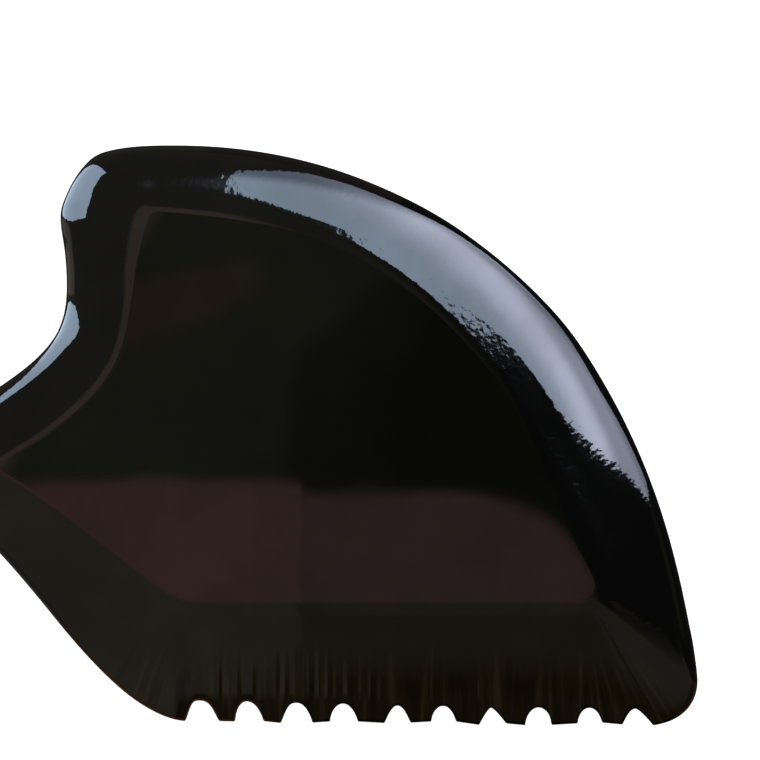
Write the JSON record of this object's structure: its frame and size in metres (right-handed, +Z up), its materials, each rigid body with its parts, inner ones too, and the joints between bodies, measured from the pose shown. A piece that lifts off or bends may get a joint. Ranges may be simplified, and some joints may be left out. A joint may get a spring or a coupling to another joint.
{
  "type": "gua sha scraper",
  "caption": "Palm-sized gua sha scraper: a polished black horn plate with a rounded back, a beaked end, a finger bay and a blunt comb edge.",
  "frame": {"origin": "under the middle of the plate's box, on the surface that it lies on", "axes": "the plate lies flat: +X along its length, away from the beak, +Y from the comb towards the arched back, +Z up through its thickness"},
  "size_m": [0.1018, 0.0754, 0.008],
  "materials": {
    "polished_horn": "black water-buffalo horn polished to a mirror gloss, with faint brown fibre streaks running into the comb and amber light in its thinnest edges"
  },
  "bodies": {
    "root": {"scraper_plate": "polished_horn"}
  },
  "joints": []
}
